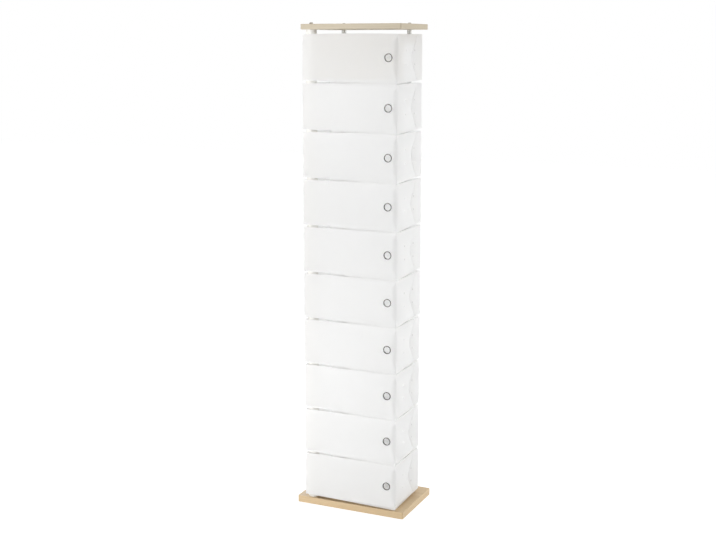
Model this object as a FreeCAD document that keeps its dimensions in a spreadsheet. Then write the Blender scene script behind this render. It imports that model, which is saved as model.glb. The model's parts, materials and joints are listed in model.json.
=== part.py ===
import FreeCAD, Part
import math
import os
import Sketcher

# Shoe drawer tower: ten folded plastic drawers stacked on one column between two wood boards.
# Each drawer turns on the column at its front left corner and closes against two rear rods.
# Frame: +Z up, X to the right along the front, Y to the back, origin at the middle of the base's
# underside. Lengths are in millimetres.

SIZES = (
    ("drawer_count", 10, "drawers in the stack"),
    ("base_width", 400, "base board, side to side"),
    ("base_depth", 256, "base board, front to back"),
    ("base_thick", 24, "base board thickness"),
    ("top_width", 358, "top board, side to side"),
    ("top_depth", 235, "top board, front to back"),
    ("top_thick", 18, "top board thickness"),
    ("top_setback", -2.5, "middle of the top board behind the middle of the base"),
    ("board_corner", 3, "radius of the boards' upright corners"),
    ("board_edge", 1.2, "rounding of the boards' long edges"),
    ("seat_depth", 6, "depth of the seats for column and rods in the boards"),
    ("seat_clear", 0.05, "radial clearance of a seated tube, rod, plug or bolt"),
    ("pitch", 160, "height from one drawer to the next"),
    ("stack_gap", 10, "open height between a rim and the drawer floor above it"),
    ("drawer_width", 341, "drawer, side to side"),
    ("drawer_depth", 213, "drawer, front to back"),
    ("drawer_setback", -21, "middle of the drawers behind the middle of the base"),
    ("sheet_thick", 1.2, "plastic sheet thickness"),
    ("fold_radius", 3, "outer radius of the band's upright folds"),
    ("hem_height", 13, "height of the folded hem at the rim"),
    ("crown_rise", 1.5, "rise of the rim at the middle of the front"),
    ("skirt_drop", 7, "fall of the band's lower edge at the free corner"),
    ("lap_gap", 0.2, "gap between the two lapped ends of the band"),
    ("lap_length", 60, "length of the front end under the tongue's tip"),
    ("tongue_reach", 84, "tongue tip ahead of the back"),
    ("tongue_root", 38, "full height part of the tongue ahead of the back"),
    ("tongue_tip", 40, "radius of the tongue's tip"),
    ("tray_clear", 0.1, "clearance of the tray inside the band"),
    ("tray_lip", 5, "height of the tray's folded edges"),
    ("flap_height", 120, "height of the tray's tall side flaps above the floor"),
    ("flap_margin", 16, "flap edge beyond its rivets"),
    ("column_outer", 26, "column tube, outer diameter"),
    ("column_wall", 2.5, "column tube wall"),
    ("plug_length", 30, "tapped plugs in the column's ends"),
    ("run_clear", 0.05, "radial clearance of the sleeves on the column"),
    ("sleeve_outer", 36, "drawer sleeve, outer diameter"),
    ("sleeve_setback", 27.5, "column axis behind the drawer's front"),
    ("sleeve_inset", 1, "clearance of the sleeve from the tray's left lip"),
    ("wing_thick", 3, "thickness of the sleeve's wing and foot"),
    ("wing_reach", 52, "wing and foot beyond the column axis"),
    ("wing_clear", 2, "clearance of the wing from the tray lip and the hem"),
    ("washer_outer", 40, "bearing washer, outer diameter"),
    ("washer_thick", 1, "bearing washer thickness"),
    ("spacer_height", 15, "spacer between the highest sleeve and the top board"),
    ("rod_outer", 16, "rear rod diameter"),
    ("rod_spacing", 242, "distance between the rear rods' axes"),
    ("rod_gap", 0.5, "gap between a closed drawer's back and the rods"),
    ("bolt_shank", 8, "bolt diameter"),
    ("bolt_grip", 22, "bolt length in a rod or plug"),
    ("bolt_hole_clear", 0.3, "radial clearance of a bolt in a board"),
    ("cap_head", 13, "cap screw head diameter"),
    ("cap_height", 8, "cap screw head height"),
    ("cap_recess", 10, "depth of the sunk holes under the base"),
    ("cap_recess_clear", 1, "radial clearance of a cap screw head"),
    ("cap_round", 0.8, "rounding of a cap screw head"),
    ("dome_head", 13, "dome bolt head diameter"),
    ("dome_height", 5.5, "dome bolt head height"),
    ("dome_round", 4.5, "rounding of a dome bolt head"),
    ("eyelet_outer", 30, "finger ring, outer diameter"),
    ("eyelet_bore", 22, "finger hole diameter"),
    ("eyelet_wall", 1, "wall of the eyelet's barrel"),
    ("eyelet_rim", 2, "finger ring, height in front of the panel"),
    ("eyelet_back", 1, "rolled rim behind the panel, thickness"),
    ("eyelet_back_outer", 28, "rolled rim behind the panel, diameter"),
    ("eyelet_clear", 0.1, "radial clearance of the eyelet in the panel"),
    ("eyelet_inset", 31.5, "finger hole from the drawer's right side"),
    ("rivet_shank", 4, "rivet diameter"),
    ("rivet_head", 7, "rivet head diameter"),
    ("rivet_head_height", 1.2, "rivet head height"),
    ("rivet_clear", 0.1, "radial clearance of a rivet in its hole"),
    ("rivet_row_gap", 45, "height between the two rows of side rivets"),
    ("rivet_column_gap", 72, "distance between the two columns of side rivets"),
    ("wing_rivet_gap", 70, "height between the two wing rivets"),
    ("wing_rivet_edge", 12, "wing and foot rivets from the plate's far edge"),
)

PARTS_FOLDER = "parts"
CUT_OVER = 5.0
UP = FreeCAD.Vector(0, 0, 1)

doc = FreeCAD.newDocument("shoe_drawer_cabinet")
sheet = doc.addObject("Spreadsheet::Sheet", "Sizes")


class Size:
    """A length worked out from the sheet, with the expression that gives it."""

    def __init__(self, value, text):
        self.value = value
        self.text = text

    def __add__(self, other):
        other = as_size(other)
        return Size(self.value + other.value, f"({self.text} + {other.text})")

    def __sub__(self, other):
        other = as_size(other)
        return Size(self.value - other.value, f"({self.text} - {other.text})")

    def __mul__(self, other):
        other = as_size(other)
        return Size(self.value * other.value, f"({self.text} * {other.text})")

    def __truediv__(self, other):
        other = as_size(other)
        return Size(self.value / other.value, f"({self.text} / {other.text})")

    def __neg__(self):
        return Size(-self.value, f"(0 - {self.text})")


def as_size(value):
    if isinstance(value, Size):
        return value
    return Size(float(value), f"({value})")


class Dimensions:
    """The sheet's cells by name."""


def fill_sheet():
    dimensions = Dimensions()
    for row, (alias, value, note) in enumerate(SIZES, start=1):
        sheet.set(f"A{row}", note)
        sheet.set(f"B{row}", str(value))
        sheet.setAlias(f"B{row}", alias)
        setattr(dimensions, alias, Size(float(value), f"Sizes.{alias}"))
    doc.recompute()
    return dimensions


dim = fill_sheet()

# Places in plan, shared by every drawer and by the frame
left = -dim.drawer_width / 2
right = dim.drawer_width / 2
front = dim.drawer_setback - dim.drawer_depth / 2
rear = dim.drawer_setback + dim.drawer_depth / 2
tongue_face = right + dim.lap_gap + dim.sheet_thick
tongue_tip_y = rear - dim.tongue_reach
tray_inset = dim.sheet_thick + dim.tray_clear
tray_left = left + tray_inset
tray_right = right - tray_inset
axis_x = tray_left + dim.sheet_thick + dim.sleeve_inset + dim.sleeve_outer / 2
axis_y = front + dim.sleeve_setback
rod_y = rear + dim.rod_gap + dim.rod_outer / 2
rod_x = dim.rod_spacing / 2
eyelet_x = right - dim.eyelet_inset

# Heights in a drawer, from the foot of its sleeve
floor_top = dim.stack_gap + dim.sheet_thick
middle = (dim.stack_gap + dim.pitch) / 2
skirt_low = dim.stack_gap - dim.skirt_drop
crown_top = dim.pitch + dim.crown_rise
hem_low = dim.pitch - dim.hem_height

# Heights in the frame
stack_low = dim.base_thick + dim.washer_thick
stack_high = stack_low + dim.pitch * dim.drawer_count
top_low = stack_high + dim.spacer_height
top_high = top_low + dim.top_thick
post_low = dim.base_thick - dim.seat_depth
post_length = top_low + dim.seat_depth - post_low

side_rivet_rows = (middle - dim.rivet_row_gap / 2, middle + dim.rivet_row_gap / 2)
front_rivet_y = dim.drawer_setback - dim.rivet_column_gap / 2
rear_rivet_y = dim.drawer_setback + dim.rivet_column_gap / 2
wing_rivet_rows = (middle - dim.wing_rivet_gap / 2, middle + dim.wing_rivet_gap / 2)
wing_rivet_y = axis_y + dim.wing_reach - dim.wing_rivet_edge
foot_rivet_x = axis_x + dim.wing_reach - dim.wing_rivet_edge
foot_rivet_ys = (axis_y - dim.sleeve_outer / 4, axis_y + dim.sleeve_outer / 4)


def new_body(label, x=None, y=None, z=None):
    """A piece with its own place, bound to the sheet."""
    body = doc.addObject("PartDesign::Body", label)
    body.Label = label
    for name, place in (("x", x), ("y", y), ("z", z)):
        if place is not None:
            body.setExpression(f"Placement.Base.{name}", place.text)
    return body


def new_sketch(body, name, role, height=None):
    """A sketch on one of the body's own planes, raised along the plane's normal."""
    sketch = body.newObject("Sketcher::SketchObject", name)
    plane = next(item for item in body.Origin.OriginFeatures if item.Role == role)
    sketch.AttachmentSupport = [(plane, "")]
    sketch.MapMode = "FlatFace"
    if height is not None:
        sketch.setExpression("AttachmentOffset.Base.z", height.text)
    return sketch


def bind(sketch, kind, *place):
    """A constraint whose last value is a Size."""
    size = place[-1]
    index = sketch.addConstraint(Sketcher.Constraint(kind, *place[:-1], size.value))
    sketch.setExpression(f"Constraints[{index}]", size.text)


def hold_x(sketch, shape, point, x):
    bind(sketch, "DistanceX", -1, 1, shape, point, x)


def hold_y(sketch, shape, point, y):
    bind(sketch, "DistanceY", -1, 1, shape, point, y)


def vector(point):
    return FreeCAD.Vector(point[0].value, point[1].value, 0)


def draw_circle(sketch, x, y, radius):
    shape = sketch.addGeometry(Part.Circle(FreeCAD.Vector(x.value, y.value, 0), UP, radius.value))
    hold_x(sketch, shape, 3, x)
    hold_y(sketch, shape, 3, y)
    bind(sketch, "Radius", shape, radius)


def draw_outline(sketch, corners):
    """A closed outline through corners (x, y) or (x, y, radius).

    Rounded corners lie between edges that run along X or Y. A sharp corner may end a slanted edge.
    """
    points = [vector(corner) for corner in corners]
    count = len(points)
    ways = [(points[(i + 1) % count] - points[i]).normalize() for i in range(count)]
    trims = [corner[2].value if len(corner) == 3 else 0.0 for corner in corners]
    edges = []
    for i in range(count):
        start = points[i] + ways[i] * trims[i]
        end = points[(i + 1) % count] - ways[i] * trims[(i + 1) % count]
        edges.append(sketch.addGeometry(Part.LineSegment(start, end)))
    flat = [abs(way.y) < 1e-9 for way in ways]
    upright = [abs(way.x) < 1e-9 for way in ways]
    for i, corner in enumerate(corners):
        if flat[i]:
            sketch.addConstraint(Sketcher.Constraint("Horizontal", edges[i]))
            hold_y(sketch, edges[i], 1, corner[1])
        if upright[i]:
            sketch.addConstraint(Sketcher.Constraint("Vertical", edges[i]))
            hold_x(sketch, edges[i], 1, corner[0])
        if not (upright[i] or upright[i - 1]):
            hold_x(sketch, edges[i], 1, corner[0])
        if not (flat[i] or flat[i - 1]):
            hold_y(sketch, edges[i], 1, corner[1])
        if len(corner) == 3:
            join_round(sketch, edges[i - 1], edges[i], points[i], ways[i - 1], ways[i], corner[2])
        else:
            sketch.addConstraint(Sketcher.Constraint("Coincident", edges[i - 1], 2, edges[i], 1))


def join_round(sketch, edge_in, edge_out, corner, way_in, way_out, radius):
    """A quarter arc, tangent to the two edges of a corner."""
    reach = radius.value
    centre = corner - way_in * reach + way_out * reach
    turns_left = way_in.cross(way_out).z > 0
    first = corner - way_in * reach if turns_left else corner + way_out * reach
    begin = math.atan2(first.y - centre.y, first.x - centre.x)
    arc = Part.ArcOfCircle(Part.Circle(centre, UP, reach), begin, begin + math.pi / 2)
    shape = sketch.addGeometry(arc)
    point_in, point_out = (1, 2) if turns_left else (2, 1)
    sketch.addConstraint(Sketcher.Constraint("Tangent", edge_in, 2, shape, point_in))
    sketch.addConstraint(Sketcher.Constraint("Tangent", shape, point_out, edge_out, 1))
    bind(sketch, "Radius", shape, radius)


def pad(body, name, sketch, length, reverse=False):
    feature = body.newObject("PartDesign::Pad", name)
    feature.Profile = sketch
    feature.setExpression("Length", length.text)
    feature.Reversed = reverse
    return feature


def cut(body, name, sketch, length=None, reverse=False, both_ways=False):
    """A pocket of a given length, or right through."""
    doc.recompute()
    before = body.Shape.Volume
    feature = body.newObject("PartDesign::Pocket", name)
    feature.Profile = sketch
    feature.Reversed = reverse
    if length is None:
        feature.Type = "ThroughAll"
    else:
        feature.setExpression("Length", length.text)
    if both_ways:
        feature.SideType = "Symmetric"
    doc.recompute()
    if not body.Shape.Volume < before:
        raise ValueError(f"{body.Label}: {name} cuts nothing")
    return feature


def revolve(body, name, corners):
    """A turned piece: the outline gives radius and height, turned about the body's Z axis."""
    sketch = new_sketch(body, name + "_profile", "XZ_Plane")
    draw_outline(sketch, corners)
    feature = body.newObject("PartDesign::Revolution", name)
    feature.Profile = sketch
    feature.ReferenceAxis = (sketch, ["V_Axis"])
    feature.Angle = 360
    return feature


def ring(label, outer, inner, height, x, y, z):
    """A plain tube or washer that stands on Z."""
    body = new_body(label, x, y, z)
    sketch = new_sketch(body, "section", "XY_Plane")
    centre = as_size(0)
    draw_circle(sketch, centre, centre, outer / 2)
    draw_circle(sketch, centre, centre, inner / 2)
    pad(body, "tube", sketch, height)
    return body


def board(label, width, depth, thick, y, z):
    """A wood board with rounded corners and eased edges, before its holes are drilled."""
    body = new_body(label, None, y, z)
    sketch = new_sketch(body, "outline", "XY_Plane")
    draw_outline(sketch, (
        (-width / 2, -depth / 2, dim.board_corner),
        (width / 2, -depth / 2, dim.board_corner),
        (width / 2, depth / 2, dim.board_corner),
        (-width / 2, depth / 2, dim.board_corner),
    ))
    slab = pad(body, "slab", sketch, thick)
    doc.recompute()
    faces = []
    for index, face in enumerate(slab.Shape.Faces, start=1):
        if abs(face.normalAt(0, 0).z) > 0.9:
            faces.append(f"Face{index}")
    eased = body.newObject("PartDesign::Fillet", "eased_edges")
    eased.Base = (slab, faces)
    eased.setExpression("Radius", dim.board_edge.text)
    return body


def drill(body, name, places, radius, height, length, reverse=False):
    """Round holes at places in plan, from a height."""
    sketch = new_sketch(body, name + "_circles", "XY_Plane", height)
    for x, y in places:
        draw_circle(sketch, x, y, radius)
    cut(body, name, sketch, length, reverse)


def post_places(centre_y):
    """The column and the two rods in plan, from the middle of a board."""
    rods = [(-rod_x, rod_y - centre_y), (rod_x, rod_y - centre_y)]
    return [(axis_x, axis_y - centre_y)], rods


def base_board():
    body = board("base_board", dim.base_width, dim.base_depth, dim.base_thick, None, None)
    column, rods = post_places(as_size(0))
    seat = dim.base_thick
    column_radius = dim.column_outer / 2 + dim.seat_clear
    drill(body, "column_seat", column, column_radius, seat, dim.seat_depth)
    drill(body, "rod_seats", rods, dim.rod_outer / 2 + dim.seat_clear, seat, dim.seat_depth)
    recess_radius = dim.cap_head / 2 + dim.cap_recess_clear
    drill(body, "recesses", column + rods, recess_radius, as_size(0), dim.cap_recess, True)
    hole_radius = dim.bolt_shank / 2 + dim.bolt_hole_clear
    drill(body, "bolt_holes", column + rods, hole_radius, as_size(0), dim.base_thick, True)
    return body


def top_board():
    middle_y = dim.top_setback
    body = board("top_board", dim.top_width, dim.top_depth, dim.top_thick, middle_y, top_low)
    column, rods = post_places(middle_y)
    column_radius = dim.column_outer / 2 + dim.seat_clear
    drill(body, "column_seat", column, column_radius, as_size(0), dim.seat_depth, True)
    rod_radius = dim.rod_outer / 2 + dim.seat_clear
    drill(body, "rod_seats", rods, rod_radius, as_size(0), dim.seat_depth, True)
    hole_radius = dim.bolt_shank / 2 + dim.bolt_hole_clear
    drill(body, "bolt_holes", column + rods, hole_radius, dim.top_thick, dim.top_thick)
    return body


def rear_rod(label, x):
    """A rod with a tapped hole in each end."""
    body = new_body(label, x, rod_y, post_low)
    sketch = new_sketch(body, "section", "XY_Plane")
    centre = as_size(0)
    draw_circle(sketch, centre, centre, dim.rod_outer / 2)
    pad(body, "rod", sketch, post_length)
    tapped = dim.bolt_shank / 2 + dim.seat_clear
    drill(body, "lower_hole", [(centre, centre)], tapped, centre, dim.plug_length, True)
    drill(body, "upper_hole", [(centre, centre)], tapped, post_length, dim.plug_length)
    return body


def column_plugs():
    """The tapped plugs in both ends of the column, drawn as one group."""
    body = new_body("column_plugs", axis_x, axis_y, post_low)
    outer = dim.column_outer / 2 - dim.column_wall - dim.seat_clear
    inner = dim.bolt_shank / 2 + dim.seat_clear
    centre = as_size(0)
    for name, low in (("lower", None), ("upper", post_length - dim.plug_length)):
        sketch = new_sketch(body, name + "_section", "XY_Plane", low)
        draw_circle(sketch, centre, centre, outer)
        draw_circle(sketch, centre, centre, inner)
        pad(body, name + "_plug", sketch, dim.plug_length)
    return body


def bolt(label, place, z, head, height, shank, ease):
    """A turned bolt with its head up, the head's bearing face at Z."""
    body = new_body(label, place[0], place[1], z)
    core = as_size(0)
    radius = dim.bolt_shank / 2
    revolve(body, "turned_bolt", (
        (core, -shank),
        (radius, -shank),
        (radius, core),
        (head / 2, core),
        (head / 2, height, ease),
        (core, height),
    ))
    return body


def group(label, members):
    """Identical fasteners as one piece of separate solids."""
    compound = doc.addObject("Part::Compound", label)
    compound.Label = label
    compound.Links = members
    return compound


def top_bolts():
    """Dome head bolts through the top board into the column's plug and the rods."""
    column, rods = post_places(as_size(0))
    shank = dim.top_thick - dim.seat_depth + dim.bolt_grip
    members = []
    for number, place in enumerate(column + rods, start=1):
        label = f"top_bolt_{number}"
        members.append(bolt(label, place, top_high, dim.dome_head, dim.dome_height, shank, dim.dome_round))
    return group("top_bolts", members)


def base_bolts():
    """Cap screws from under the base, heads down in their sunk holes."""
    column, rods = post_places(as_size(0))
    shank = post_low - dim.cap_recess + dim.bolt_grip
    members = []
    for number, place in enumerate(column + rods, start=1):
        label = f"base_bolt_{number}"
        screw = bolt(label, place, dim.cap_recess, dim.cap_head, dim.cap_height, shank, dim.cap_round)
        screw.Placement.Rotation = FreeCAD.Rotation(FreeCAD.Vector(1, 0, 0), 180)
        members.append(screw)
    return group("base_bolts", members)


def frame_pieces():
    bore = dim.column_outer + dim.run_clear * 2
    pieces = [base_board(), top_board()]
    tube_bore = dim.column_outer - dim.column_wall * 2
    pieces.append(ring("pivot_column", dim.column_outer, tube_bore, post_length, axis_x, axis_y, post_low))
    pieces.append(column_plugs())
    pieces.append(rear_rod("rear_rod_left", -rod_x))
    pieces.append(rear_rod("rear_rod_right", rod_x))
    pieces.append(base_bolts())
    pieces.append(top_bolts())
    washer = ring("base_washer", dim.washer_outer, bore, dim.washer_thick, axis_x, axis_y, dim.base_thick)
    pieces.append(washer)
    spacer = ring("top_spacer", dim.sleeve_outer, bore, dim.spacer_height, axis_x, axis_y, stack_high)
    pieces.append(spacer)
    return pieces


def draw_band_section(sketch):
    """The band in plan: one sheet from under the tongue, round the front, left and back, to the tongue."""
    sheet_thick = dim.sheet_thick
    outside = dim.fold_radius
    inside = dim.fold_radius - sheet_thick
    lap_end = tongue_tip_y + dim.lap_length
    draw_outline(sketch, (
        (right, lap_end),
        (right, front, outside),
        (left, front, outside),
        (left, rear, outside),
        (tongue_face, rear, outside),
        (tongue_face, tongue_tip_y),
        (tongue_face - sheet_thick, tongue_tip_y),
        (tongue_face - sheet_thick, rear - sheet_thick, inside),
        (left + sheet_thick, rear - sheet_thick, inside),
        (left + sheet_thick, front + sheet_thick, inside),
        (right - sheet_thick, front + sheet_thick, inside),
        (right - sheet_thick, lap_end),
    ))


def draw_hem_section(sketch):
    """The hem in plan: a second layer inside the band, from the lap round to the back's right end."""
    outer = dim.sheet_thick
    inner = dim.sheet_thick * 2
    outside = dim.fold_radius - outer
    inside = dim.fold_radius - inner
    lap_end = tongue_tip_y + dim.lap_length
    back_end = right - dim.fold_radius
    draw_outline(sketch, (
        (right - outer, lap_end),
        (right - outer, front + outer, outside),
        (left + outer, front + outer, outside),
        (left + outer, rear - outer, outside),
        (back_end, rear - outer),
        (back_end, rear - inner),
        (left + inner, rear - inner, inside),
        (left + inner, front + inner, inside),
        (right - inner, front + inner, inside),
        (right - inner, lap_end),
    ))


def draw_crown(sketch):
    """Everything above the rim's shallow arch, seen from the front."""
    top = crown_top + CUT_OVER
    half = dim.drawer_width / 2
    arch_radius = half * half / (dim.crown_rise * 2) + dim.crown_rise / 2
    centre = FreeCAD.Vector(0, crown_top.value - arch_radius.value, 0)
    lean = math.asin(half.value / arch_radius.value)
    arch_circle = Part.Circle(centre, UP, arch_radius.value)
    arch = sketch.addGeometry(Part.ArcOfCircle(arch_circle, math.pi / 2 - lean, math.pi / 2 + lean))
    over = as_size(CUT_OVER)
    corners = (
        (left, dim.pitch),
        (left - over, dim.pitch),
        (left - over, top),
        (right + over, top),
        (right + over, dim.pitch),
        (right, dim.pitch),
    )
    edges = []
    for first, second in zip(corners, corners[1:]):
        edges.append(sketch.addGeometry(Part.LineSegment(vector(first), vector(second))))
    for edge, (x, y) in zip(edges, corners):
        hold_x(sketch, edge, 1, x)
        hold_y(sketch, edge, 1, y)
    for edge, following in zip(edges, edges[1:]):
        sketch.addConstraint(Sketcher.Constraint("Coincident", edge, 2, following, 1))
    hold_x(sketch, edges[-1], 2, right)
    hold_y(sketch, edges[-1], 2, dim.pitch)
    sketch.addConstraint(Sketcher.Constraint("Coincident", arch, 2, edges[0], 1))
    sketch.addConstraint(Sketcher.Constraint("Coincident", arch, 1, edges[-1], 2))
    bind(sketch, "Radius", arch, arch_radius)


def draw_tongue_waste(sketch):
    """What is cut from the lapped end to leave the tongue, seen from the right side."""
    over = as_size(CUT_OVER)
    high = crown_top + over
    low = skirt_low - over
    ahead = tongue_tip_y - over
    root = rear - dim.tongue_root
    centre_x = tongue_tip_y + dim.tongue_tip
    centre = FreeCAD.Vector(centre_x.value, middle.value, 0)
    tip = dim.tongue_tip.value
    ends = []
    for level, side in ((high, 1), (low, -1)):
        corner = FreeCAD.Vector(root.value, level.value, 0)
        away = corner - centre
        bearing = math.atan2(away.y, away.x)
        ends.append((corner, bearing + side * math.acos(tip / away.Length)))
    (high_corner, high_angle), (low_corner, low_angle) = ends
    circle = Part.Circle(centre, UP, tip)
    arc = sketch.addGeometry(Part.ArcOfCircle(circle, high_angle, low_angle + 2 * math.pi))
    high_end = centre + FreeCAD.Vector(math.cos(high_angle), math.sin(high_angle), 0) * tip
    low_end = centre + FreeCAD.Vector(math.cos(low_angle), math.sin(low_angle), 0) * tip
    upper = sketch.addGeometry(Part.LineSegment(high_corner, high_end))
    lower = sketch.addGeometry(Part.LineSegment(low_end, low_corner))
    corners = ((root, low), (ahead, low), (ahead, high), (root, high))
    edges = []
    for first, second in zip(corners, corners[1:]):
        edges.append(sketch.addGeometry(Part.LineSegment(vector(first), vector(second))))
    for edge, (x, y) in zip(edges, corners):
        hold_x(sketch, edge, 1, x)
        hold_y(sketch, edge, 1, y)
    for edge, following in zip(edges, edges[1:]):
        sketch.addConstraint(Sketcher.Constraint("Coincident", edge, 2, following, 1))
    hold_x(sketch, edges[-1], 2, root)
    hold_y(sketch, edges[-1], 2, high)
    sketch.addConstraint(Sketcher.Constraint("Coincident", edges[-1], 2, upper, 1))
    sketch.addConstraint(Sketcher.Constraint("Tangent", upper, 2, arc, 1))
    sketch.addConstraint(Sketcher.Constraint("Tangent", arc, 2, lower, 1))
    sketch.addConstraint(Sketcher.Constraint("Coincident", lower, 2, edges[0], 1))
    hold_x(sketch, arc, 3, centre_x)
    hold_y(sketch, arc, 3, middle)
    bind(sketch, "Radius", arc, dim.tongue_tip)


def band(label, level):
    """The folded sheet that makes the four sides."""
    body = new_body(label, None, None, level)
    section = new_sketch(body, "section", "XY_Plane", skirt_low)
    draw_band_section(section)
    pad(body, "walls", section, crown_top - skirt_low)
    hem = new_sketch(body, "hem_section", "XY_Plane", hem_low)
    draw_hem_section(hem)
    pad(body, "hem", hem, crown_top - hem_low)

    over = as_size(CUT_OVER)
    front_waste = new_sketch(body, "front_skirt_waste", "XZ_Plane")
    draw_outline(front_waste, (
        (left - over, skirt_low - over),
        (right, skirt_low - over),
        (right, skirt_low),
        (left, dim.stack_gap),
        (left - over, dim.stack_gap),
    ))
    cut(body, "front_skirt", front_waste, both_ways=True)
    side_waste = new_sketch(body, "side_skirt_waste", "YZ_Plane")
    draw_outline(side_waste, (
        (front, skirt_low - over),
        (rear + over, skirt_low - over),
        (rear + over, dim.stack_gap),
        (rear, dim.stack_gap),
        (front, skirt_low),
    ))
    cut(body, "side_skirt", side_waste, both_ways=True)
    crown = new_sketch(body, "crown_waste", "XZ_Plane")
    draw_crown(crown)
    cut(body, "crown", crown, both_ways=True)
    tongue = new_sketch(body, "tongue_waste", "YZ_Plane", right + dim.lap_gap / 2)
    draw_tongue_waste(tongue)
    cut(body, "tongue", tongue, reverse=True)

    hole_radius = dim.rivet_shank / 2 + dim.rivet_clear
    side_holes = new_sketch(body, "side_rivet_circles", "YZ_Plane")
    for z in side_rivet_rows:
        draw_circle(side_holes, front_rivet_y, z, hole_radius)
        draw_circle(side_holes, rear_rivet_y, z, hole_radius)
    cut(body, "side_rivet_holes", side_holes, reverse=True)
    wing_holes = new_sketch(body, "wing_rivet_circles", "YZ_Plane")
    for z in wing_rivet_rows:
        draw_circle(wing_holes, wing_rivet_y, z, hole_radius)
    cut(body, "wing_rivet_holes", wing_holes)
    finger = new_sketch(body, "finger_circle", "XZ_Plane")
    barrel = dim.eyelet_bore / 2 + dim.eyelet_wall + dim.eyelet_clear
    draw_circle(finger, eyelet_x, middle, barrel)
    cut(body, "finger_hole", finger, reverse=True)
    return body


def tray(label, level):
    """The floor, with a low lip all round and a tall flap on each side for the rivets."""
    body = new_body(label, None, None, level)
    outside = dim.fold_radius - tray_inset
    inside = outside - dim.sheet_thick
    low_y = front + tray_inset
    high_y = rear - tray_inset
    section = new_sketch(body, "section", "XY_Plane", dim.stack_gap)
    draw_outline(section, (
        (tray_left, low_y, outside),
        (tray_right, low_y, outside),
        (tray_right, high_y, outside),
        (tray_left, high_y, outside),
    ))
    pad(body, "blank", section, dim.tray_lip)
    thick = dim.sheet_thick
    hollow = new_sketch(body, "hollow", "XY_Plane", dim.stack_gap + dim.tray_lip)
    draw_outline(hollow, (
        (tray_left + thick, low_y + thick, inside),
        (tray_right - thick, low_y + thick, inside),
        (tray_right - thick, high_y - thick, inside),
        (tray_left + thick, high_y - thick, inside),
    ))
    cut(body, "inside", hollow, dim.tray_lip - thick)

    flap_low = dim.stack_gap + dim.tray_lip / 2
    flap_top = dim.stack_gap + dim.flap_height
    margin = dim.flap_margin
    flaps = (
        ("right_flap", tray_right - thick, front_rivet_y - margin, rear_rivet_y + margin),
        ("left_flap", tray_left, wing_rivet_y - margin, wing_rivet_y + margin),
    )
    for name, x, near, far in flaps:
        outline = new_sketch(body, name + "_outline", "YZ_Plane", x)
        draw_outline(outline, (
            (near, flap_low),
            (far, flap_low),
            (far, flap_top, margin / 2),
            (near, flap_top, margin / 2),
        ))
        pad(body, name, outline, thick)

    hole_radius = dim.rivet_shank / 2 + dim.rivet_clear
    side_holes = new_sketch(body, "side_rivet_circles", "YZ_Plane")
    for z in side_rivet_rows:
        draw_circle(side_holes, front_rivet_y, z, hole_radius)
        draw_circle(side_holes, rear_rivet_y, z, hole_radius)
    cut(body, "side_rivet_holes", side_holes, reverse=True)
    wing_holes = new_sketch(body, "wing_rivet_circles", "YZ_Plane")
    for z in wing_rivet_rows:
        draw_circle(wing_holes, wing_rivet_y, z, hole_radius)
    cut(body, "wing_rivet_holes", wing_holes)
    foot_places = [(foot_rivet_x, y) for y in foot_rivet_ys]
    drill(body, "foot_rivet_holes", foot_places, hole_radius, floor_top, thick)
    sleeve_radius = dim.sleeve_outer / 2 + dim.tray_clear
    drill(body, "sleeve_hole", [(axis_x, axis_y)], sleeve_radius, floor_top, thick)
    return body


def sleeve(label, level):
    """The moulded sleeve on the column, with a foot on the floor and a wing on the left flap."""
    body = new_body(label, None, None, level)
    section = new_sketch(body, "section", "XY_Plane")
    draw_circle(section, axis_x, axis_y, dim.sleeve_outer / 2)
    pad(body, "tube", section, dim.pitch)

    wing_low = dim.stack_gap + dim.tray_lip + dim.wing_clear
    wing_high = hem_low - dim.wing_clear
    wing_far = axis_y + dim.wing_reach
    face = tray_left + dim.sheet_thick
    wing = new_sketch(body, "wing_outline", "YZ_Plane", face)
    corner = dim.wing_rivet_edge / 2
    draw_outline(wing, (
        (axis_y, wing_low),
        (wing_far, wing_low, corner),
        (wing_far, wing_high, corner),
        (axis_y, wing_high),
    ))
    pad(body, "wing", wing, dim.wing_thick)
    foot = new_sketch(body, "foot_outline", "XY_Plane", floor_top)
    foot_far = axis_x + dim.wing_reach
    half = dim.sleeve_outer / 2
    draw_outline(foot, (
        (axis_x, axis_y - half),
        (foot_far, axis_y - half, corner),
        (foot_far, axis_y + half, corner),
        (axis_x, axis_y + half),
    ))
    pad(body, "foot", foot, dim.wing_thick)

    drill(body, "bore", [(axis_x, axis_y)], dim.column_outer / 2 + dim.run_clear, dim.pitch, dim.pitch)
    hole_radius = dim.rivet_shank / 2 + dim.rivet_clear
    wing_holes = new_sketch(body, "wing_rivet_circles", "YZ_Plane", face)
    for z in wing_rivet_rows:
        draw_circle(wing_holes, wing_rivet_y, z, hole_radius)
    cut(body, "wing_rivet_holes", wing_holes, dim.wing_thick, reverse=True)
    foot_places = [(foot_rivet_x, y) for y in foot_rivet_ys]
    drill(body, "foot_rivet_holes", foot_places, hole_radius, floor_top + dim.wing_thick, dim.wing_thick)
    return body


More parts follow.
